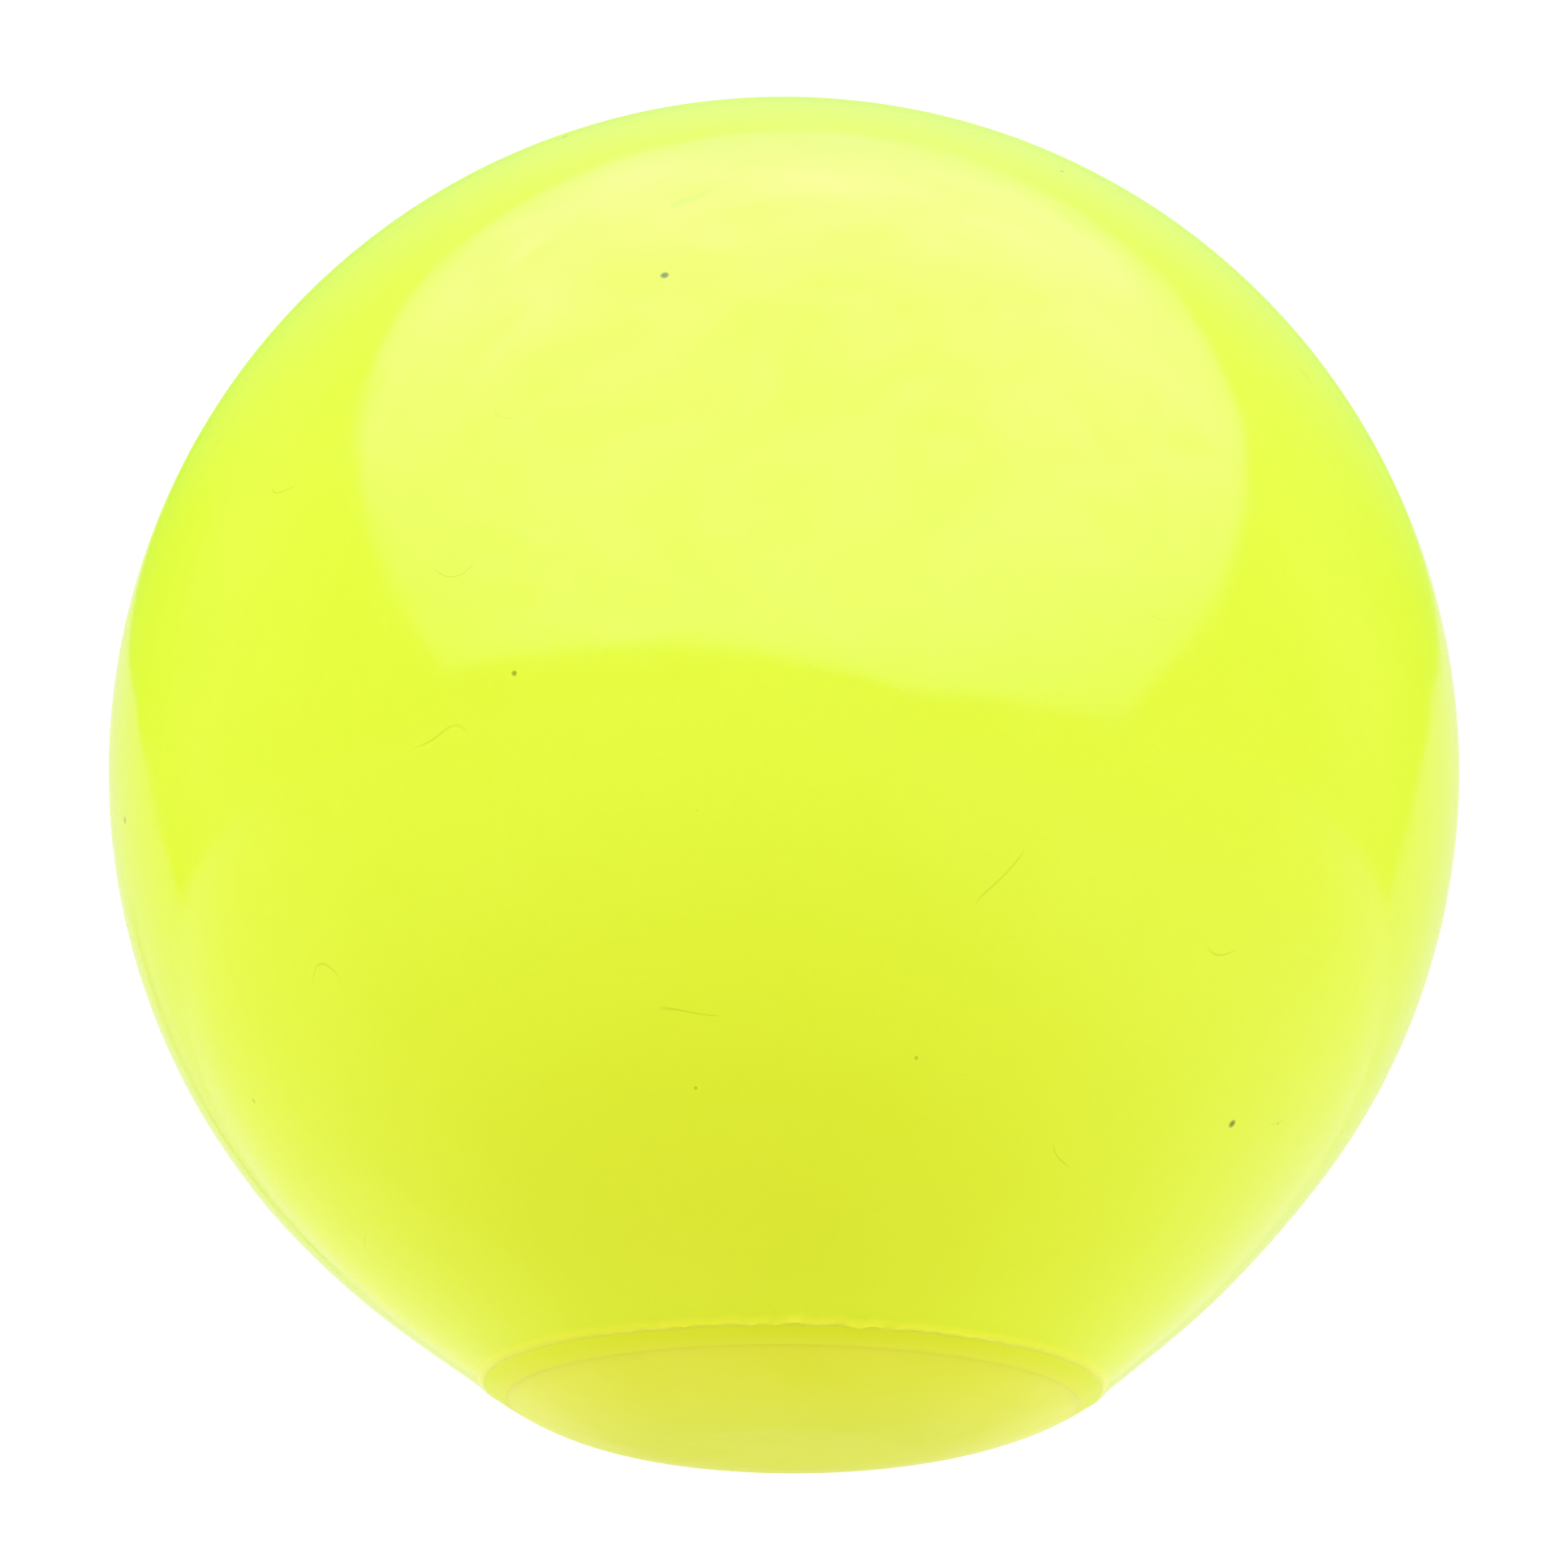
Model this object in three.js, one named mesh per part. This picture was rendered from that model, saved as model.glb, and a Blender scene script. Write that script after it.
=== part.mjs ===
// A soft, hand-sized play ball. A moulded rubber skin holds a soft gel filling. The skin is open at its
// base, a shallow-domed cap closes the opening, and a bead of adhesive bonds the cap inside the skin's lip.
// Units are millimetres. +Z is up and is the ball's axis of symmetry. The origin is the centre of the
// small flat foot that the ball stands on.
import * as THREE from 'three';

// Driving dimensions: the skin.
const BALL_RADIUS = 32.5;
const CENTRE_HEIGHT = 33.15; // from the foot up to the centre of the round part
const SKIN_THICKNESS = 2.2;
const FLANK_START_LATITUDE = THREE.MathUtils.degToRad(-43.4); // where the flank leaves the round part
const FLANK_FULLNESS = 1.39; // how strongly the flank keeps the round part's direction
const LIP_RADIUS = 14.68; // the outer edge of the lip around the base opening
const LIP_HEIGHT = 2.97;
const OPENING_RADIUS = 14.15; // the straight wall of the base opening

// Driving dimensions: the cap, the bead and the filling.
const DOME_RADIUS = 14.45; // where the dome's curve would meet the lip
const DOME_EDGE_HEIGHT = 2.88;
const DOME_FLATNESS = 3.08; // larger is flatter in the middle
const DOME_SHOULDER = 0.88; // smaller is rounder at the edge
const FOOT_RADIUS = 5;
const RIM_RADIUS = 13.7; // the cap's rim, stepped back to leave room for the bead
const REBATE_HEIGHT = 3.95;
const CAP_TOP_HEIGHT = 6.3;
const BOND_GAP = 0.1; // between bonded faces

// Facets.
const SEGMENTS = 64;
const UPPER_STEPS = 10;
const LOWER_STEPS = 5;
const FLANK_STEPS = 6;
const LIP_STEPS = 4;
const INNER_STEPS = 14;
const DOME_STEPS = 8;
const BEAD_STEPS = 3;

const skinMaterial = new THREE.MeshStandardMaterial({ color: 0xe4fa43, roughness: 0.2, metalness: 0 });
const capMaterial = new THREE.MeshStandardMaterial({ color: 0xdde24a, roughness: 0.28, metalness: 0 });
const beadMaterial = new THREE.MeshStandardMaterial({ color: 0xe2ee3a, roughness: 0.45, metalness: 0 });
const gelMaterial = new THREE.MeshStandardMaterial({ color: 0xe6f08a, roughness: 0.6, metalness: 0 });

// Points at equal steps of angle on an arc, from one angle to the other.
function arc(centre, radius, fromAngle, toAngle, steps) {
  const points = [];
  for (let i = 0; i <= steps; i += 1) {
    const angle = THREE.MathUtils.lerp(fromAngle, toAngle, i / steps);
    const offset = new THREE.Vector2(Math.cos(angle), Math.sin(angle)).multiplyScalar(radius);
    points.push(offset.add(centre));
  }
  return points;
}

// Points strictly between two ends of a cubic that leaves and arrives along the given tangents.
function cubic(start, startTangent, end, endTangent, steps) {
  const points = [];
  for (let i = 1; i < steps; i += 1) {
    const t = i / steps;
    const point = new THREE.Vector2();
    point.addScaledVector(start, 2 * t ** 3 - 3 * t ** 2 + 1);
    point.addScaledVector(startTangent, t ** 3 - 2 * t ** 2 + t);
    point.addScaledVector(end, -2 * t ** 3 + 3 * t ** 2);
    point.addScaledVector(endTangent, t ** 3 - t ** 2);
    points.push(point);
  }
  return points;
}

// Height of the domed underside at a distance from the axis. The dome runs down to the foot.
function domeHeight(radius) {
  const drop = (r) => (1 - (r / DOME_RADIUS) ** DOME_FLATNESS) ** DOME_SHOULDER;
  return DOME_EDGE_HEIGHT * (1 - drop(radius) / drop(FOOT_RADIUS));
}

// Points on the domed underside between two distances from the axis.
function dome(fromRadius, toRadius, steps) {
  const points = [];
  for (let i = 0; i <= steps; i += 1) {
    const radius = THREE.MathUtils.lerp(fromRadius, toRadius, i / steps);
    points.push(new THREE.Vector2(radius, domeHeight(radius)));
  }
  return points;
}

// Turns an outline of (distance from the axis, height) around +Z into a named solid. The outline
// keeps the solid on its left.
function turned(name, outline, material) {
  const geometry = new THREE.LatheGeometry(outline, SEGMENTS).rotateX(Math.PI / 2);
  const mesh = new THREE.Mesh(geometry, material);
  mesh.name = name;
  return mesh;
}

const ballCentre = new THREE.Vector2(0, CENTRE_HEIGHT);
const innerRadius = BALL_RADIUS - SKIN_THICKNESS;

// The skin: the inner face down to the opening, the opening's wall, the rounded lip, then the flank and
// the round outer face up to the top.
function ballSkin() {
  const openingLatitude = -Math.acos(OPENING_RADIUS / innerRadius);
  const inside = arc(ballCentre, innerRadius, Math.PI / 2, openingLatitude, INNER_STEPS);
  const lowerHalf = arc(ballCentre, BALL_RADIUS, FLANK_START_LATITUDE, 0, LOWER_STEPS);
  const upperHalf = arc(ballCentre, BALL_RADIUS, 0, Math.PI / 2, UPPER_STEPS);
  const lipEdge = new THREE.Vector2(LIP_RADIUS, LIP_HEIGHT);
  const flankTop = lowerHalf[0];
  const chord = new THREE.Vector2().subVectors(flankTop, lipEdge);
  const across = -Math.sin(FLANK_START_LATITUDE);
  const upward = Math.cos(FLANK_START_LATITUDE);
  const arrival = new THREE.Vector2(across, upward).multiplyScalar(chord.length() * FLANK_FULLNESS);
  const flank = cubic(lipEdge, chord, flankTop, arrival, FLANK_STEPS);

  // The lip's rounding touches the opening's wall and runs smoothly into the flank.
  const flankNormal = Math.atan2(-chord.x, chord.y);
  const lipRound = (LIP_RADIUS - OPENING_RADIUS) / (1 + Math.cos(flankNormal));
  const lipMiddle = LIP_HEIGHT - lipRound * Math.sin(flankNormal);
  const lipCentre = new THREE.Vector2(OPENING_RADIUS + lipRound, lipMiddle);
  const lip = arc(lipCentre, lipRound, -Math.PI, flankNormal, LIP_STEPS);

  inside[0].x = 0;
  upperHalf[UPPER_STEPS].x = 0;
  const outline = [...inside, ...lip, ...flank, ...lowerHalf, ...upperHalf.slice(1)];
  return turned('ball_skin', outline, skinMaterial);
}

// The cap: the flat foot, the dome, a rim stepped back beside the bead, and the plug above it.
function baseCap() {
  const plugRadius = OPENING_RADIUS - BOND_GAP;
  const outline = [
    new THREE.Vector2(0, 0),
    ...dome(FOOT_RADIUS, RIM_RADIUS, DOME_STEPS),
    new THREE.Vector2(RIM_RADIUS, REBATE_HEIGHT),
    new THREE.Vector2(plugRadius, REBATE_HEIGHT),
    new THREE.Vector2(plugRadius, CAP_TOP_HEIGHT),
    new THREE.Vector2(0, CAP_TOP_HEIGHT),
  ];
  return turned('base_cap', outline, capMaterial);
}

// The bead: a ring in the step between the cap's rim and the opening's wall.
function seamBead() {
  const inner = RIM_RADIUS + BOND_GAP;
  const outer = OPENING_RADIUS - BOND_GAP;
  const top = REBATE_HEIGHT - BOND_GAP;
  const outline = [
    ...dome(inner, outer, BEAD_STEPS),
    new THREE.Vector2(outer, top),
    new THREE.Vector2(inner, top),
    new THREE.Vector2(inner, domeHeight(inner)),
  ];
  return turned('seam_bead', outline, beadMaterial);
}

// The filling: the inside of the skin, flat where it sits on the cap.
function gelCore() {
  const radius = innerRadius - BOND_GAP;
  const floor = CAP_TOP_HEIGHT + BOND_GAP;
  const floorLatitude = Math.asin((floor - CENTRE_HEIGHT) / radius);
  const surface = arc(ballCentre, radius, floorLatitude, Math.PI / 2, INNER_STEPS);
  surface[INNER_STEPS].x = 0;
  return turned('gel_core', [new THREE.Vector2(0, floor), ...surface], gelMaterial);
}

const ball = new THREE.Group();
ball.add(ballSkin(), baseCap(), seamBead(), gelCore());

export default ball;
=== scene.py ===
import math

import bpy
import numpy as np
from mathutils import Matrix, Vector, noise


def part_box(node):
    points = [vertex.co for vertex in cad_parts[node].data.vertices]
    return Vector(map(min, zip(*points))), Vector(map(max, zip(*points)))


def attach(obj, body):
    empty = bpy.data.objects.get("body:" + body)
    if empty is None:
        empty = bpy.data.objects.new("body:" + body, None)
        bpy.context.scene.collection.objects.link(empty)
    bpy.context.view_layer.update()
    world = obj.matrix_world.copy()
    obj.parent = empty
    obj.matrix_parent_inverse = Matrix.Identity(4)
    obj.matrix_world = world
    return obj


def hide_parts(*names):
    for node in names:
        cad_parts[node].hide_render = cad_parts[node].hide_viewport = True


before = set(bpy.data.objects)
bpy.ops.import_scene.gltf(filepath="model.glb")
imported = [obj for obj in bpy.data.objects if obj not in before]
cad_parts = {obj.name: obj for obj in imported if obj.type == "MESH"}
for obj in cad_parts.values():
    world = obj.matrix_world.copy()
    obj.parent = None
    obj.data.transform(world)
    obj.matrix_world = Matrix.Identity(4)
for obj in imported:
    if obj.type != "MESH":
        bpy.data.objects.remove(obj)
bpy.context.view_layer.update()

# A soft play ball that stands on the cap in its base, seen from a little below, in a white studio.
# Each of the four CAD nodes is replaced by a finer mesh of its own: skin, cap, bead and gel.
MM = 0.001

# ---- Sizes, from the CAD boxes ----------------------------------------------------------------
_, skin_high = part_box("ball_skin")
_, cap_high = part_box("base_cap")
_, bead_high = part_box("seam_bead")
gel_low, gel_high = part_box("gel_core")

BALL_RADIUS = skin_high.x
CENTRE_HEIGHT = skin_high.z - BALL_RADIUS
BOND_GAP = gel_low.z - cap_high.z
GEL_RADIUS = gel_high.z - CENTRE_HEIGHT
INNER_RADIUS = GEL_RADIUS + BOND_GAP
OPENING_RADIUS = cap_high.x + BOND_GAP
REBATE_HEIGHT = bead_high.z + BOND_GAP

# The rest of the base's outline repeats the CAD part's driving dimensions.
FLANK_START = math.radians(-43.4)
FLANK_FULLNESS = 1.39
LIP_RADIUS = 14.68 * MM
LIP_HEIGHT = 2.97 * MM
DOME_RADIUS = 14.45 * MM
DOME_EDGE_HEIGHT = 2.88 * MM
DOME_FLATNESS = 3.08
DOME_SHOULDER = 0.88
FOOT_RADIUS = 5 * MM
RIM_RADIUS = 13.7 * MM

# The soft ball leans a little over its base.
LEAN_SHIFT = 0.42 * MM
LEAN_TILT = 0.012
LEAN_TOP = CENTRE_HEIGHT - 20 * MM
SLUMP = 0.33 * MM  # how far the flank fills out on the side away from the lean
SLUMP_TOP = 14 * MM
SLUMP_SKEW = 0.6  # below 1 puts the fullest place in the lower half

# The seam between the skin and the cap.
RIDGE_HEIGHT = 0.2 * MM  # the raised flash line along the lip
RIDGE_PLACE = 0.22 * MM  # from the lip's edge, up the flank
RIDGE_WIDTH = 0.2 * MM
RIDGE_WANDER = 0.16 * MM
PAINTED_HIGHLIGHT_PLACE = 0.18 * MM  # the paler line on the ridge, a painted highlight where the thin lip catches the light
PAINTED_HIGHLIGHT_WIDTH = 0.3 * MM
PAINTED_HIGHLIGHT_WANDER = 0.2 * MM
GRIME_PLACE = 1.0 * MM  # faint patches of dirt a little above it
GRIME_WIDTH = 0.35 * MM
BEAD_RISE_RADIUS = 14.0 * MM  # where the bead leaves the cap's curve
BEAD_SWELL = 0.015 * MM
BEAD_THIN_SHARE = 0.6  # how much of the bead's width is thin enough for the cap to show
BOND_OVERLAP = 0.05 * MM  # how far the bead reaches into its two neighbours
FEATHER = 0.12 * MM  # how far the bead's thin edge runs out over the cap
RAGGED_MIDDLE = math.radians(5)  # the middle of the ragged stretch, from straight ahead
RAGGED_END = 0.72  # the cosine of the angle from there to where the stretch ends
RAGGED_FADE = 0.2  # and how much more it is where it's fully ragged
NEAT_SHARE = 0.3  # how ragged the rest is, where the ragged stretch has 1

# Rings and segments.
SKIN_SEGMENTS = 768
CAP_SEGMENTS = 256
BEAD_SEGMENTS = 1024
GEL_SEGMENTS = 128
INSIDE_STEPS = 30
WALL_RINGS = 3
LIP_STEPS = 14
FLANK_STEPS = 28
FLANK_CROWDING = 1.8  # above 1 crowds the flank's rings towards the lip
OUTSIDE_STEPS = 76
FOOT_RINGS = 7
DOME_RINGS = 65
DOME_CROWDING = 0.8  # below 1 crowds the dome's rings towards the rim
BEAD_RINGS = 25
GEL_STEPS = 40
GEL_FLOOR_RINGS = 4
SHARP_ANGLE = math.radians(40)
ON_AXIS = 1e-9


# ---- Mesh helpers -----------------------------------------------------------------------------
def arc(radius, start, end, steps):
    """(radius, height) points at equal angles on an arc about the ball's centre."""
    angles = np.linspace(start, end, steps + 1)
    return np.c_[radius * np.cos(angles), CENTRE_HEIGHT + radius * np.sin(angles)]


def smooth(share):
    """Eases a share in at 0 and out at 1."""
    share = np.clip(share, 0, 1)
    return share * share * (3 - 2 * share)


def bell(distance, width):
    """1 at no distance, falling off smoothly to either side."""
    return np.exp(-((distance / width) ** 2))


def dome_height(radius):
    """Height of the domed underside at a distance from the axis."""
    radius = np.asarray(radius, float)
    fall = (1 - (radius / DOME_RADIUS) ** DOME_FLATNESS) ** DOME_SHOULDER
    foot = (1 - (FOOT_RADIUS / DOME_RADIUS) ** DOME_FLATNESS) ** DOME_SHOULDER
    return np.maximum(DOME_EDGE_HEIGHT * (1 - fall / foot), 0)


def lean(points):
    """Moves the lower part of the ball a little to one side and tilts it, keeping the foot flat, and
    fills out the flank on the other side."""
    share = smooth((LEAN_TOP - points[:, 2]) / (LEAN_TOP - LIP_HEIGHT))
    off_foot = smooth(points[:, 2] / LIP_HEIGHT)
    up_flank = np.clip((points[:, 2] - LIP_HEIGHT) / (SLUMP_TOP - LIP_HEIGHT), 0, 1)
    left = np.clip(-points[:, 0] / LIP_RADIUS, 0, 1)
    leaned = points.copy()
    leaned[:, 2] -= LEAN_TILT * points[:, 0] * share * off_foot
    leaned[:, 0] += LEAN_SHIFT * share
    leaned[:, 0] -= SLUMP * np.sin(math.pi * up_flank**SLUMP_SKEW) ** 2 * left
    return leaned


def faces_between(low, high, segments):
    """The faces between two rings of vertices. A ring on the axis is one vertex."""
    faces = []
    for j in range(segments):
        k = (j + 1) % segments
        if len(low) == 1:
            faces.append((low[0], high[k], high[j]))
        elif len(high) == 1:
            faces.append((low[j], low[k], high[0]))
        else:
            faces.append((low[j], low[k], high[k], high[j]))
    return faces


def spin(name, outline, segments, loop=False, relief=None, marks=None):
    """Turns an outline of (radius, height) points around +Z. The outline keeps the solid on its left.
    An end on the axis becomes one vertex, and loop joins the last ring to the first. relief moves the
    points: it gets a ring's place in the outline, the angles of its points, and their radii and heights.
    marks are named values from 0 to 1 that a material reads, each from a function of the first two."""
    angles = np.linspace(0, 2 * math.pi, segments, endpoint=False)
    marks = marks or {}
    values = {mark: [] for mark in marks}
    rings, points = [], []
    for i, (radius, height) in enumerate(outline):
        if radius < ON_AXIS:
            rings.append([len(points)])
            points.append((0, 0, height))
            for mark in marks:
                values[mark].append(0)
            continue
        for mark, value in marks.items():
            values[mark].extend(value(i, angles) * np.ones(segments))
        rings.append(list(range(len(points), len(points) + segments)))
        ring = np.c_[np.full(segments, radius), np.full(segments, height)]
        if relief is not None:
            ring = relief(i, angles, ring)
        points.extend(zip(ring[:, 0] * np.cos(angles), ring[:, 0] * np.sin(angles), ring[:, 1]))
    faces = []
    for low, high in zip(rings, rings[1:]):
        faces.extend(faces_between(low, high, segments))
    if loop:
        faces.extend(faces_between(rings[-1], rings[0], segments))
    mesh = bpy.data.meshes.new(name)
    mesh.from_pydata(lean(np.array(points)).tolist(), [], faces)
    mesh.shade_smooth()
    mesh.set_sharp_from_angle(angle=SHARP_ANGLE)
    for mark in marks:
        mesh.attributes.new(mark, "FLOAT", "POINT").data.foreach_set("value", values[mark])
    mesh.update()
    piece = bpy.data.objects.new(name, mesh)
    bpy.context.scene.collection.objects.link(piece)
    return piece


def lumps(angles, size, seed):
    """Smooth random lumps around the seam, from -1 to 1, about size metres long."""
    scale = OPENING_RADIUS / size
    places = [Vector((math.cos(angle) * scale, math.sin(angle) * scale, seed)) for angle in angles]
    return np.array([noise.noise(place) for place in places])


def raggedness(angles):
    """How ragged the seam is around the ball: ragged towards the front, neat elsewhere."""
    front = np.cos(angles + math.pi / 2 - RAGGED_MIDDLE)
    return NEAT_SHARE + (1 - NEAT_SHARE) * np.clip((front - RAGGED_END) / RAGGED_FADE, 0, 1)


def ridge_wander(angles):
    """How far the flash line strays to either side, from -1 to 1."""
    return raggedness(angles) * lumps(angles, 0.7 * MM, 4.5)


# ---- The pieces -------------------------------------------------------------------------------
def on_circle(angle):
    return np.array([math.cos(angle), math.sin(angle)])


lip_edge = np.array([LIP_RADIUS, LIP_HEIGHT])
flank_top = np.array([0, CENTRE_HEIGHT]) + BALL_RADIUS * on_circle(FLANK_START)
flank_chord = flank_top - lip_edge


def lip_outline():
    """The rounded lip, from the opening's wall to the flank."""
    normal = math.atan2(-flank_chord[0], flank_chord[1])
    rounding = (LIP_RADIUS - OPENING_RADIUS) / (1 + math.cos(normal))
    centre = (OPENING_RADIUS + rounding, LIP_HEIGHT - rounding * math.sin(normal))
    angles = np.linspace(-math.pi, normal, LIP_STEPS + 1)
    return np.c_[centre[0] + rounding * np.cos(angles), centre[1] + rounding * np.sin(angles)]


def flank_outline():
    """The nearly straight flank from just above the lip to the round part."""
    arrival = on_circle(FLANK_START + math.pi / 2) * np.hypot(*flank_chord) * FLANK_FULLNESS
    t = (np.linspace(0, 1, FLANK_STEPS + 1)[1:-1] ** FLANK_CROWDING)[:, None]
    return (
        lip_edge * (2 * t**3 - 3 * t**2 + 1)
        + flank_chord * (t**3 - 2 * t**2 + t)
        + flank_top * (3 * t**2 - 2 * t**3)
        + arrival * (t**3 - t**2)
    )


def make_skin():
    """The skin's outline runs down its inside, along the opening's wall, round the lip, and up its
    outside. A ragged flash line stands on the lip."""
    inside = arc(INNER_RADIUS, math.pi / 2, -math.acos(OPENING_RADIUS / INNER_RADIUS), INSIDE_STEPS)
    inside[0, 0] = 0
    lip = lip_outline()
    wall_heights = np.linspace(inside[-1, 1], lip[0, 1], WALL_RINGS + 2)[1:-1]
    wall = np.c_[np.full(WALL_RINGS, OPENING_RADIUS), wall_heights]
    outside = arc(BALL_RADIUS, FLANK_START, math.pi / 2, OUTSIDE_STEPS)
    outside[-1, 0] = 0
    outline = np.vstack([inside, wall, lip, flank_outline(), outside])
    edge = len(inside) + len(wall) + len(lip) - 1
    run = np.r_[0, np.cumsum(np.hypot(*np.diff(outline, axis=0).T))]
    run -= run[edge]  # the distance along the outline from the lip's edge

    def relief(i, angles, ring):
        if abs(run[i] - RIDGE_PLACE) > 5 * RIDGE_WIDTH:
            return ring
        ragged = raggedness(angles)
        place = RIDGE_PLACE + RIDGE_WANDER * ridge_wander(angles)
        uneven = 0.9 * lumps(angles, 0.9 * MM, 1.5) + 0.7 * lumps(angles, 0.4 * MM, 7.5)
        ridge = RIDGE_HEIGHT * ragged * (1 + ragged * uneven) * bell(run[i] - place, RIDGE_WIDTH)
        tangent = outline[i + 1] - outline[i - 1]
        normal = np.array([tangent[1], -tangent[0]]) / np.hypot(*tangent)
        return ring + ridge[:, None] * normal

    # The paler line along the flash line is a painted highlight where the thin lip catches the light.
    def ridge_highlight_mark(i, angles):
        place = PAINTED_HIGHLIGHT_PLACE + PAINTED_HIGHLIGHT_WANDER * ridge_wander(angles)
        return np.exp(-(((run[i] - place) / PAINTED_HIGHLIGHT_WIDTH) ** 4))

    def grime_mark(i, angles):
        patches = np.clip(3 * lumps(angles, 3.1 * MM, 15.5) - 0.9, 0, 1)
        return patches * bell(run[i] - GRIME_PLACE, GRIME_WIDTH)

    # ridge carries the painted highlight along the flash line; grime carries patches of dirt.
    marks = {"ridge": ridge_highlight_mark, "grime": grime_mark}
    return spin("skin", outline, SKIN_SEGMENTS, relief=relief, marks=marks)


def make_cap():
    """The flat foot, the dome out to the rim, and the plug above it."""
    foot = np.c_[np.linspace(0, FOOT_RADIUS, FOOT_RINGS + 1)[:-1], np.zeros(FOOT_RINGS)]
    radii = FOOT_RADIUS + (RIM_RADIUS - FOOT_RADIUS) * np.linspace(0, 1, DOME_RINGS) ** DOME_CROWDING
    dome = np.c_[radii, dome_height(radii)]
    plug = np.array([
        [RIM_RADIUS, (dome_height(RIM_RADIUS) + REBATE_HEIGHT) / 2],
        [RIM_RADIUS, REBATE_HEIGHT],
        [cap_high.x, REBATE_HEIGHT],
        [cap_high.x, cap_high.z],
        [cap_high.x / 2, cap_high.z],
        [0, cap_high.z],
    ])
    return spin("cap", np.vstack([foot, dome, plug]), CAP_SEGMENTS)


def make_bead():
    """The bead fills the step between the cap and the lip. It feathers out on the cap and runs
    straight up over the lip's rounding to the flash line."""
    inner = RIM_RADIUS - FEATHER
    start = np.array([BEAD_RISE_RADIUS, dome_height(BEAD_RISE_RADIUS)])
    end = lip_edge + np.array([0.01, -0.005]) * MM
    across = np.linspace(0, 1, BEAD_RINGS)
    radii = inner + (end[0] - inner) * across
    rise = start[1] + (end[1] - start[1]) * (radii - start[0]) / (end[0] - start[0])
    level = np.where(radii < start[0], dome_height(radii), rise)
    under = np.c_[radii, level - BEAD_SWELL * np.sin(math.pi * across)]
    tuck = end + np.array([[0, 0.08], [-0.1, 0.16]]) * MM
    outer_wall = OPENING_RADIUS + BOND_OVERLAP
    inner_wall = RIM_RADIUS - BOND_OVERLAP
    top = np.array([
        [outer_wall, LIP_HEIGHT + 0.5 * MM],
        [outer_wall, bead_high.z],
        [inner_wall, bead_high.z],
        [inner_wall, dome_height(inner_wall) + BOND_OVERLAP],
    ])

    def relief(i, angles, ring):
        if i >= BEAD_RINGS:
            return ring
        coarse = 0.06 * MM * lumps(angles, 0.9 * MM, 3.5)
        fine = 0.03 * MM * lumps(angles, 0.35 * MM, 9.5 + 3 * across[i])
        ring[:, 1] -= raggedness(angles) * (coarse + fine) * math.sin(math.pi * across[i]) ** 2
        return ring

    def thin_mark(i, angles):
        return max(0, 1 - across[i] / BEAD_THIN_SHARE) if i < BEAD_RINGS else 0

    outline = np.vstack([under, tuck, top])
    marks = {"thin": thin_mark}
    return spin("bead", outline, BEAD_SEGMENTS, loop=True, relief=relief, marks=marks)


def make_gel():
    """The filling: most of a ball, with a flat floor over the cap."""
    start = math.asin((gel_low.z - CENTRE_HEIGHT) / GEL_RADIUS)
    surface = arc(GEL_RADIUS, start, math.pi / 2, GEL_STEPS)
    surface[-1, 0] = 0
    floor_radii = np.linspace(0, surface[0, 0], GEL_FLOOR_RINGS + 1)[:-1]
    floor = np.c_[floor_radii, np.full(GEL_FLOOR_RINGS, gel_low.z)]
    return spin("gel", np.vstack([floor, surface]), GEL_SEGMENTS)


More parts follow.
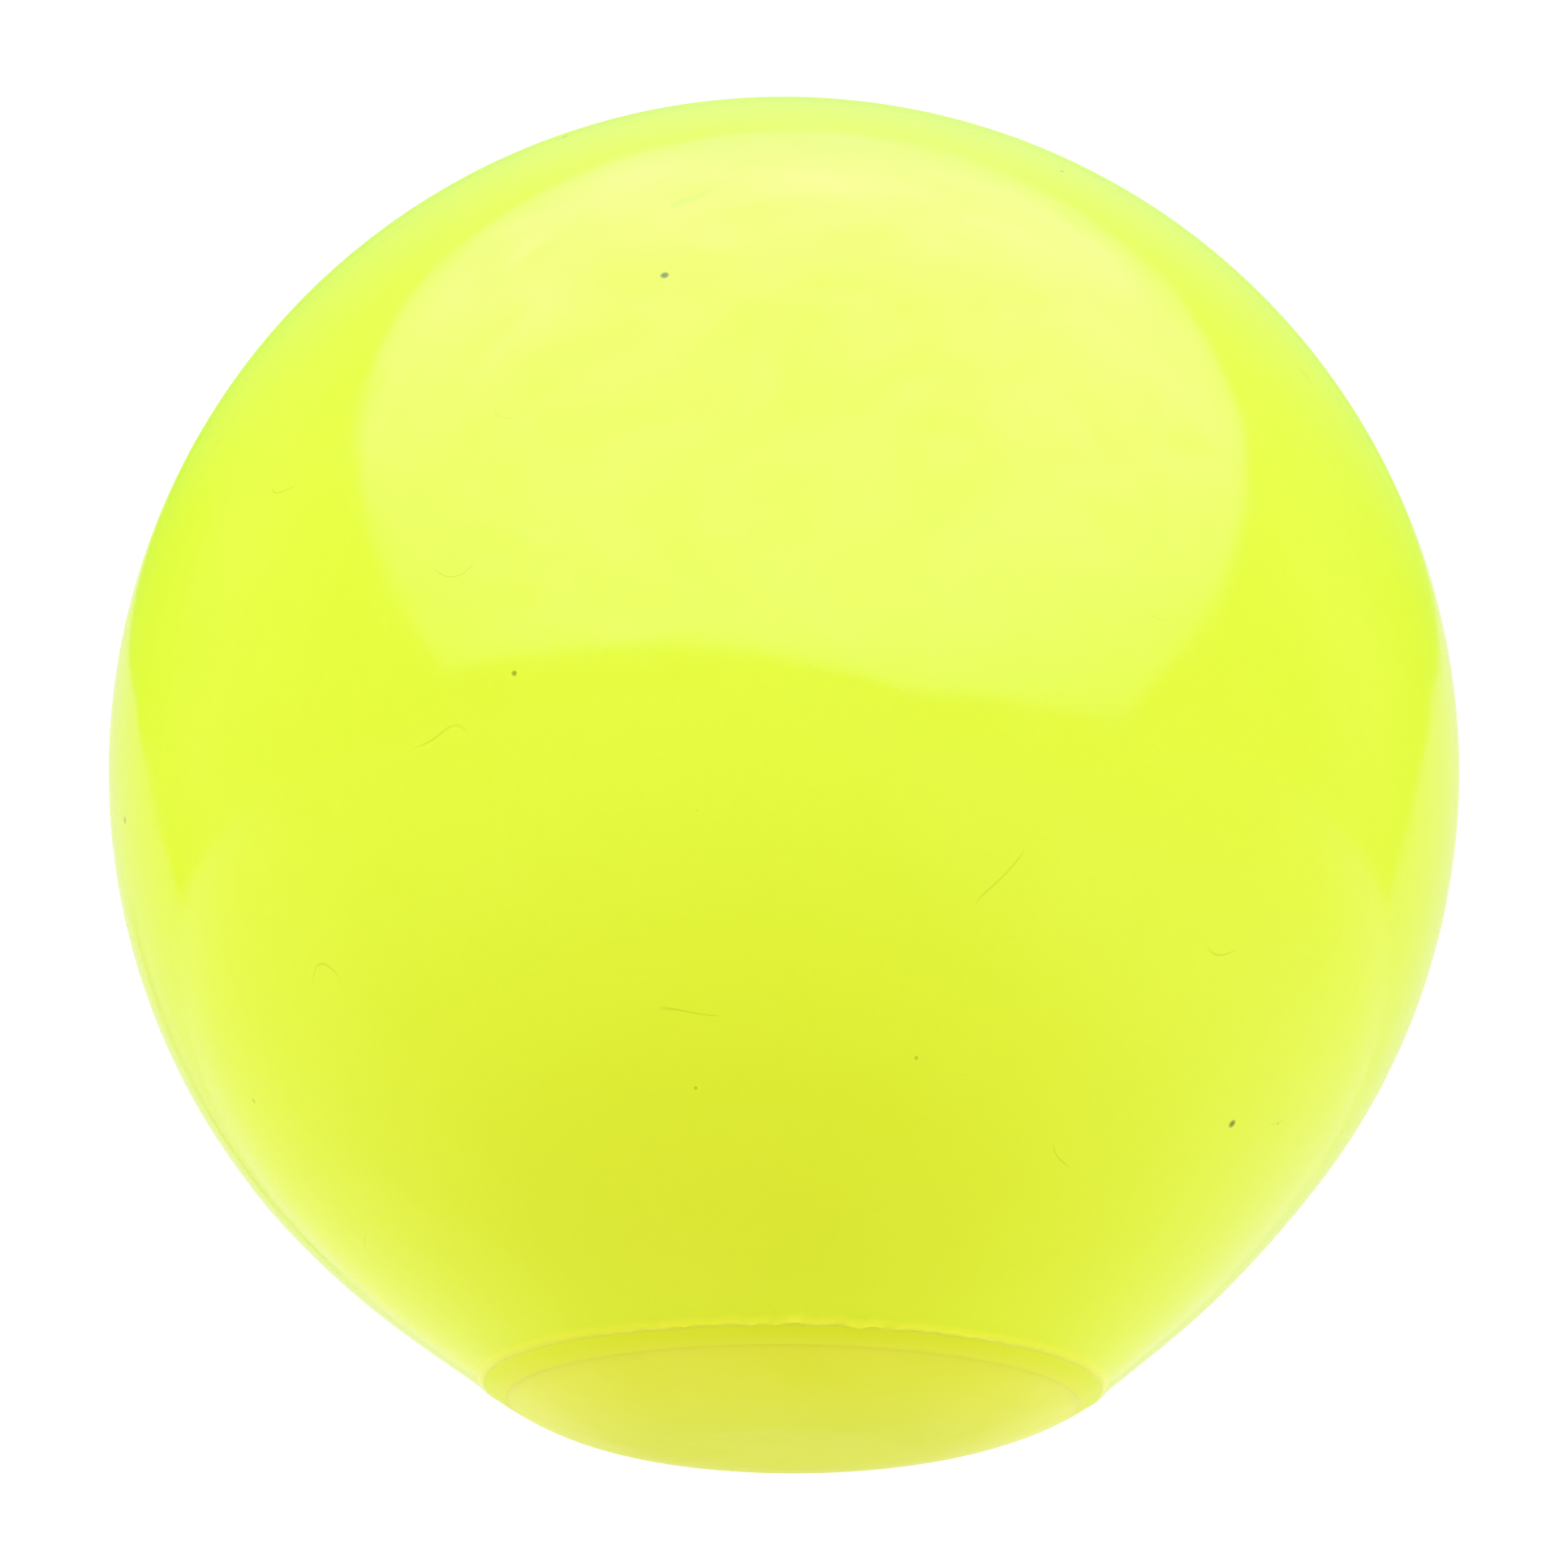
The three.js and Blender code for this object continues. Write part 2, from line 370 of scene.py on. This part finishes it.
# ---- Nodes ------------------------------------------------------------------------------------
class Nodes:
    """A node tree, with short ways to add nodes and join them. place is where its textures lie."""

    def __init__(self, tree, place="Object"):
        self.tree = tree
        self.place = self.add("ShaderNodeTexCoord").outputs[place]

    def add(self, kind, **settings):
        node = self.tree.nodes.new(kind)
        for key, value in settings.items():
            setattr(node, key, value)
        return node

    def join(self, source, target):
        self.tree.links.new(source, target)

    def feed(self, values, sockets):
        """Joins each value that is a socket to its target, and sets the others on theirs."""
        for value, socket in zip(values, sockets):
            if isinstance(value, bpy.types.NodeSocket):
                self.join(value, socket)
            else:
                socket.default_value = value

    def math(self, operation, *values):
        node = self.add("ShaderNodeMath", operation=operation)
        self.feed(values, node.inputs)
        return node.outputs[0]

    def vector(self, operation, output, *values):
        node = self.add("ShaderNodeVectorMath", operation=operation)
        self.feed(values, node.inputs)
        return node.outputs[output]

    def axes(self):
        node = self.add("ShaderNodeSeparateXYZ")
        self.join(self.place, node.inputs["Vector"])
        return node.outputs

    def noise(self, scale, detail=3, roughness=0.5, distortion=0):
        node = self.add("ShaderNodeTexNoise")
        node.inputs["Scale"].default_value = scale
        node.inputs["Detail"].default_value = detail
        node.inputs["Roughness"].default_value = roughness
        node.inputs["Distortion"].default_value = distortion
        self.join(self.place, node.inputs["Vector"])
        return node.outputs["Fac"]

    def ramp(self, source, low, high, from_low=0.3, from_high=0.7, kind="LINEAR"):
        node = self.add("ShaderNodeMapRange", interpolation_type=kind)
        node.inputs["From Min"].default_value = from_low
        node.inputs["From Max"].default_value = from_high
        node.inputs["To Min"].default_value = low
        node.inputs["To Max"].default_value = high
        self.join(source, node.inputs["Value"])
        return node.outputs["Result"]

    def ease(self, source, start, end):
        """0 before the start, 1 after the end, and smooth between them."""
        return self.ramp(source, 0, 1, start, end, "SMOOTHSTEP")

    def mix(self, share, first, second):
        node = self.add("ShaderNodeMix", data_type="RGBA")
        colours = [(*value, 1) if isinstance(value, tuple) else value for value in (first, second)]
        self.feed((share, *colours), (node.inputs["Factor"], node.inputs["A"], node.inputs["B"]))
        return node.outputs["Result"]

    def bump(self, height, depth_mm, under=None):
        node = self.add("ShaderNodeBump")
        node.inputs["Distance"].default_value = depth_mm * MM
        node.inputs["Strength"].default_value = 1
        self.join(height, node.inputs["Height"])
        if under is not None:
            self.join(under, node.inputs["Normal"])
        return node.outputs["Normal"]


def per_mm(size_mm):
    """The scale of a texture whose features are this many millimetres across."""
    return 1 / (size_mm * MM)


def new_material(name):
    material = bpy.data.materials.new(name)
    material.use_nodes = True
    return material


# ---- Rubber -----------------------------------------------------------------------------------
CLOUD_MM = 14
SMEAR_MM = 6
WAVE_MM = 7
GRAIN_MM = 0.5
HAIR_LOOP_MM = 9
HAIR_BIT_MM = 4.3
HAIR_WIDTH = 0.0022  # in the noise's own values
HAIR_COLOUR = (0.5, 0.6, 0.02)
SPECKS_KEPT = 0.4  # the share of the possible specks that is there
# The specks of each size: mm apart, mm in radius, and their colour.
SPECKS = ((6.5, 0.26, (0.25, 0.28, 0.02)), (4.3, 0.16, (0.4, 0.45, 0.02)))
# Each mark's name and colour, and the size in mm of the noise that breaks it up.
# ridge is a painted highlight along the lip's flash line; grime is patches of dirt.
SKIN_MARKS = (("ridge", (0.86, 1.0, 0.055), None), ("grime", (0.5, 0.55, 0.03), 0.9))
BEAD_MARKS = (("thin", (0.805, 0.87, 0.055), None),)


def add_hairs(nodes, colour):
    """A few short curved hair marks: bits of one thin contour line."""
    line = nodes.math("COMPARE", nodes.noise(per_mm(HAIR_LOOP_MM), detail=1), 0.5, HAIR_WIDTH)
    bits = nodes.ramp(nodes.noise(per_mm(HAIR_BIT_MM), detail=0), 0, 0.35, 0.73, 0.79)
    return nodes.mix(nodes.math("MULTIPLY", line, bits), colour, HAIR_COLOUR)


def add_mark(nodes, colour, mark, mark_colour, size_mm):
    """Colours the places where the mesh carries a mark, broken up by noise if a size is given."""
    share = nodes.add("ShaderNodeAttribute", attribute_name=mark).outputs["Fac"]
    if size_mm is not None:
        broken = nodes.ramp(nodes.noise(per_mm(size_mm)), 0, 0.5, 0.35, 0.75)
        share = nodes.math("MULTIPLY", share, broken)
    return nodes.mix(share, colour, mark_colour)


def add_specks(nodes, colour, spacing_mm, radius_mm, speck_colour):
    """Tiny dark specks of dirt in the surface, each in its own random spot."""
    cells = nodes.add("ShaderNodeTexVoronoi", feature="F1")
    cells.inputs["Scale"].default_value = per_mm(spacing_mm)
    nodes.join(nodes.place, cells.inputs["Vector"])
    reach = radius_mm / spacing_mm
    inside = nodes.ramp(cells.outputs["Distance"], 1, 0, 0.5 * reach, reach)
    pick = nodes.add("ShaderNodeSeparateColor")
    nodes.join(cells.outputs["Color"], pick.inputs["Color"])
    kept = nodes.ramp(pick.outputs["Red"], 1, 0, SPECKS_KEPT, SPECKS_KEPT + 0.01)
    return nodes.mix(nodes.math("MULTIPLY", inside, kept), colour, speck_colour)


def rubber(name, pale, deep, roughness, wave_mm, grain_mm, translucent=0.5, sheen=0, hairs=False,
           marks=()):
    """Glossy, slightly translucent rubber with cloudy colour and a faintly uneven surface."""
    material = new_material(name)
    nodes = Nodes(material.node_tree)
    shader = material.node_tree.nodes["Principled BSDF"].inputs
    clouds = nodes.noise(per_mm(CLOUD_MM), detail=4, roughness=0.6, distortion=0.4)
    colour = nodes.mix(nodes.ramp(clouds, 0, 1, 0.35, 0.68), pale, deep)
    for spacing_mm, radius_mm, speck_colour in SPECKS:
        colour = add_specks(nodes, colour, spacing_mm, radius_mm, speck_colour)
    if hairs:
        colour = add_hairs(nodes, colour)
    for mark, mark_colour, size_mm in marks:
        colour = add_mark(nodes, colour, mark, mark_colour, size_mm)
    nodes.join(colour, shader["Base Color"])
    smears = nodes.noise(per_mm(SMEAR_MM), detail=5, roughness=0.6, distortion=1.2)
    nodes.join(nodes.ramp(smears, roughness - 0.03, roughness + 0.08), shader["Roughness"])
    wave = nodes.bump(nodes.noise(per_mm(WAVE_MM), detail=2), wave_mm)
    grain = nodes.bump(nodes.noise(per_mm(GRAIN_MM)), grain_mm, under=wave)
    nodes.join(grain, shader["Normal"])
    shader["IOR"].default_value = 1.4
    shader["Sheen Weight"].default_value = sheen
    shader["Sheen Roughness"].default_value = 0.5
    shader["Subsurface Weight"].default_value = translucent
    shader["Subsurface Radius"].default_value = (1.0, 1.0, 0.25)
    shader["Subsurface Scale"].default_value = 0.8 * MM
    return material


skin_rubber = rubber("skin_rubber", (0.79, 0.98, 0.05), (0.775, 0.96, 0.042), roughness=0.1,
                     wave_mm=0.02, grain_mm=0.002, hairs=True, marks=SKIN_MARKS)
cap_rubber = rubber("cap_rubber", (0.815, 0.88, 0.075), (0.78, 0.855, 0.032), roughness=0.33,
                    wave_mm=0.05, grain_mm=0.004, sheen=0.14)
bead_adhesive = rubber("bead_adhesive", (0.775, 0.885, 0.028), (0.745, 0.86, 0.02), roughness=0.36,
                       wave_mm=0.03, grain_mm=0.01, translucent=0, marks=BEAD_MARKS)
gel_filling = rubber("gel_filling", (0.8, 0.9, 0.2), (0.75, 0.85, 0.15), roughness=0.4,
                     wave_mm=0.05, grain_mm=0.01)

for make, node, slot, material in (
    (make_skin, "ball_skin", "skin_rubber", skin_rubber),
    (make_cap, "base_cap", "cap_rubber", cap_rubber),
    (make_bead, "seam_bead", "bead_adhesive", bead_adhesive),
    (make_gel, "gel_core", "gel_filling", gel_filling),
):
    piece = make()
    piece.data.materials.append(material)
    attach(piece, "root")
    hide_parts(node)


# ---- Camera -----------------------------------------------------------------------------------
CAMERA_ELEVATION = math.radians(-15.0)
CAMERA_DISTANCE = 0.45
CAMERA_DROP = 0.572 * MM  # the camera aims this far below the ball's centre
LENS = 214.15

scene = bpy.context.scene
scene.view_settings.view_transform = "Standard"
ball_centre = Vector((0, 0, CENTRE_HEIGHT))


def make_camera():
    up = Vector((0, math.sin(CAMERA_ELEVATION), math.cos(CAMERA_ELEVATION)))
    back = Vector((0, -math.cos(CAMERA_ELEVATION), math.sin(CAMERA_ELEVATION)))
    camera = bpy.data.objects.new("camera", bpy.data.cameras.new("camera"))
    scene.collection.objects.link(camera)
    camera.data.lens = LENS
    camera.data.sensor_width = 36
    camera.data.clip_start = 0.01
    camera.data.clip_end = 20
    camera.location = ball_centre - up * CAMERA_DROP + back * CAMERA_DISTANCE
    camera.rotation_euler = back.to_track_quat("Z", "Y").to_euler()
    scene.camera = camera


# ---- World ------------------------------------------------------------------------------------
ROOM_LOW = (1.05, 1.05, 1.05)
ROOM_HIGH = (1.05, 1.09, 1.05)
GLOSS_FRONT = (0.78, 0.98, 0.45)
GLOSS_BEHIND_LOW = (0.55, 0.92, 0.1)
GLOSS_BEHIND_HIGH = (0.86, 1.0, 0.9)
GLOSS_MIDDLE = 0.15  # the X of the direction where the pale part reaches lowest
GLOSS_ROUNDING = -0.26  # how its edge climbs to both sides of there


def make_world():
    """A white studio. The ball's gloss sees it yellow-green in front and at the sides, deeper low
    behind the ball, and pale high behind it."""
    world = bpy.data.worlds.new("studio")
    scene.world = world
    world.use_nodes = True
    nodes = Nodes(world.node_tree, "Generated")
    axes = nodes.axes()
    aside = nodes.math("ABSOLUTE", nodes.math("SUBTRACT", axes["X"], GLOSS_MIDDLE))
    height = nodes.math("MULTIPLY_ADD", aside, GLOSS_ROUNDING, axes["Z"])
    behind = nodes.mix(nodes.ramp(height, 0, 1, 0.25, 0.8), GLOSS_BEHIND_LOW, GLOSS_BEHIND_HIGH)
    gloss = nodes.mix(nodes.ease(axes["Y"], 0.3, 0.7), GLOSS_FRONT, behind)
    room = nodes.mix(nodes.ease(axes["Z"], -0.2, 0.5), ROOM_LOW, ROOM_HIGH)
    glossy = nodes.add("ShaderNodeLightPath").outputs["Is Glossy Ray"]
    background = world.node_tree.nodes["Background"].inputs
    nodes.join(nodes.mix(glossy, room, gloss), background["Color"])


# ---- Floor ------------------------------------------------------------------------------------
FLOOR_CUTS = (-3.0, -0.3, -0.03, 0.03, 0.3, 3.0)  # small faces keep light rays exact by the foot
FLOOR_DROP = 0.05 * MM  # keeps the floor apart from the foot
# A painted shadow of the ball in the floor's glow, in front of it, tinted yellow by painted bounce light
# from the ball.
BALL_SHADOW_COLOUR = (0.83, 0.73, 0.36)
BALL_SHADOW_CENTRE = (-4 * MM, -31 * MM, 0)
BALL_SHADOW_SQUEEZE = (0.78, 1, 1)
BALL_SHADOW_RADIUS = 43.5 * MM
NEAR_COLOUR = (1.05, 1.05, 0.72)
WHITE_COLOUR = (1.02, 1.0, 0.92)
# A painted contact shadow right under the ball, tinted yellow by painted bounce light from it.
CONTACT_SHADOW_COLOUR = (0.88, 0.88, 0.38)


def floor_glow(nodes):
    """The colour that the floor glows in: a painted shadow of the ball as a dim yellow patch in front of
    it, pale yellow around it, nearly white far behind and in a strip to the right, and a painted
    contact shadow, dim again, right under the ball."""
    axes = nodes.axes()
    # The painted shadow of the ball: a dim yellow patch in front of it.
    squeezed = nodes.vector("MULTIPLY", "Vector", nodes.place, BALL_SHADOW_SQUEEZE)
    off_ball_shadow = nodes.ease(nodes.vector("DISTANCE", "Value", squeezed, BALL_SHADOW_CENTRE), 0, BALL_SHADOW_RADIUS)
    behind = nodes.ease(axes["Y"], 10 * MM, 180 * MM)
    strip_start = nodes.ease(axes["X"], 8 * MM, 45 * MM)
    strip_end = nodes.ramp(axes["X"], 1, 0, 55 * MM, 170 * MM, "SMOOTHSTEP")
    white = nodes.math("MAXIMUM", behind, nodes.math("MULTIPLY", strip_start, strip_end))
    around = nodes.mix(white, NEAR_COLOUR, WHITE_COLOUR)
    with_ball_shadow = nodes.mix(off_ball_shadow, BALL_SHADOW_COLOUR, around)
    # The painted contact shadow right under the ball.
    off_contact_shadow = nodes.ease(nodes.vector("LENGTH", "Value", nodes.place), 6 * MM, 16 * MM)
    return nodes.mix(off_contact_shadow, CONTACT_SHADOW_COLOUR, with_ball_shadow)


def mix_shaders(nodes, share, first, second):
    node = nodes.add("ShaderNodeMixShader")
    nodes.feed((share, first, second), node.inputs)
    return node.outputs["Shader"]


def make_floor():
    """A pale floor. It shows only from above, so that the camera under it sees the ball's base. The
    camera sees it matt, and the ball sees it glow like a light table."""
    size = len(FLOOR_CUTS)
    corners = [(x, y, 0) for y in FLOOR_CUTS for x in FLOOR_CUTS]
    starts = [row * size + column for row in range(size - 1) for column in range(size - 1)]
    mesh = bpy.data.meshes.new("floor")
    mesh.from_pydata(corners, [], [(i, i + 1, i + size + 1, i + size) for i in starts])
    floor = bpy.data.objects.new("floor", mesh)
    floor.location.z = -FLOOR_DROP
    scene.collection.objects.link(floor)
    material = new_material("floor")
    nodes = Nodes(material.node_tree)
    matt = material.node_tree.nodes["Principled BSDF"]
    matt.inputs["Base Color"].default_value = (0.86, 0.86, 0.85, 1)
    matt.inputs["Roughness"].default_value = 0.6
    glow = nodes.add("ShaderNodeEmission")
    nodes.join(floor_glow(nodes), glow.inputs["Color"])
    clear = nodes.add("ShaderNodeBsdfTransparent")
    to_camera = nodes.add("ShaderNodeLightPath").outputs["Is Camera Ray"]
    from_below = nodes.add("ShaderNodeNewGeometry").outputs["Backfacing"]
    above = mix_shaders(nodes, to_camera, glow.outputs["Emission"], matt.outputs["BSDF"])
    surface = mix_shaders(nodes, from_below, above, clear.outputs["BSDF"])
    nodes.join(surface, material.node_tree.nodes["Material Output"].inputs["Surface"])
    mesh.materials.append(material)


# ---- Cards that only the ball's gloss sees ----------------------------------------------------
BACKDROP_COLOUR = (0.85, 0.92, 0.63)
BACKDROP_DISTANCE = 1
POST_COLOUR = (0.6, 0.72, 0.05)
POST_DISTANCE = 0.9
DIFFUSER_COLOUR = (0.55, 0.67, 0.8)
DIFFUSER_TILT = math.radians(28.6)
DIFFUSER_MIDDLE = (0.3, -0.2, 0)


def add_card(name, outline, place, turn, colour, strength=None):
    """A glowing card. strength, if given, makes the nodes for how strongly each place on it glows."""
    mesh = bpy.data.meshes.new(name)
    mesh.from_pydata([(x, y, 0) for x, y in outline], [], [tuple(range(len(outline)))])
    card = bpy.data.objects.new(name, mesh)
    card.location = place
    card.rotation_euler = (turn, 0, 0)
    scene.collection.objects.link(card)
    material = new_material(name)
    tree = material.node_tree
    tree.nodes.remove(tree.nodes["Principled BSDF"])
    glow = tree.nodes.new("ShaderNodeEmission")
    glow.inputs["Color"].default_value = (*colour, 1)
    if strength is not None:
        tree.links.new(strength(Nodes(tree)), glow.inputs["Strength"])
    tree.links.new(glow.outputs["Emission"], tree.nodes["Material Output"].inputs["Surface"])
    mesh.materials.append(material)
    card.visible_camera = False
    card.visible_diffuse = False
    card.visible_shadow = False


def make_backdrop():
    """A pale rounded backdrop standing on the floor behind the ball."""
    right = ((1.24, -CENTRE_HEIGHT), (1.2, 0.1), (1.05, 0.26), (0.75, 0.36), (0.3, 0.36))
    outline = right + tuple((-x, y) for x, y in reversed(right))
    place = ball_centre + Vector((0, BACKDROP_DISTANCE, 0))
    add_card("backdrop", outline, place, math.pi / 2, BACKDROP_COLOUR)


def make_post():
    """A thin slanted post, darker than the backdrop, behind the ball and to its left."""
    outline = ((-0.396, 0.169), (-0.424, 0.141), (-0.25, -CENTRE_HEIGHT), (-0.215, -CENTRE_HEIGHT))
    place = ball_centre + Vector((0, POST_DISTANCE, 0))
    add_card("post", outline, place, math.pi / 2, POST_COLOUR)


def diffuser_strength(nodes):
    """Brightest in the middle, dimmer towards the back, and a little blotchy."""
    from_middle = nodes.vector("DISTANCE", "Value", nodes.place, DIFFUSER_MIDDLE)
    fade = nodes.ramp(from_middle, 5.6, 2.7, 0.7, 2.3)
    cloth = nodes.noise(2.4, detail=8, roughness=0.7, distortion=1.8)
    blotches = nodes.ramp(cloth, 0.72, 1.2, 0.38, 0.62)
    rear = nodes.ramp(nodes.axes()["Y"], 1.0, 0.51, 0.6, 1.95)
    return nodes.math("MULTIPLY", nodes.math("MULTIPLY", fade, blotches), rear)


def make_diffuser():
    """A large overhead diffuser, a metre from the ball's centre: round at the back, and wide and
    nearly straight at the front."""
    facing = Vector((0, -math.sin(DIFFUSER_TILT), math.cos(DIFFUSER_TILT)))
    front = ((0.15, -1.62), (0.8, -1.9), (1.7, -2.12), (3.3, -1.9))
    right = ((2.5, -0.3), (2.1, 0.4), (1.7, 1.05))
    back = ((1.05, 1.67), (0.55, 1.92), (0.1, 1.95), (-0.5, 1.62), (-0.92, 1.4))
    left = ((-1.38, 0.78), (-1.95, -0.4), (-2.33, -1.16), (-0.5, -1.4))
    outline = front + right + back + left
    place = ball_centre + facing
    add_card("diffuser", outline, place, DIFFUSER_TILT, DIFFUSER_COLOUR, diffuser_strength)


make_camera()
make_world()
make_floor()
make_backdrop()
make_post()
make_diffuser()
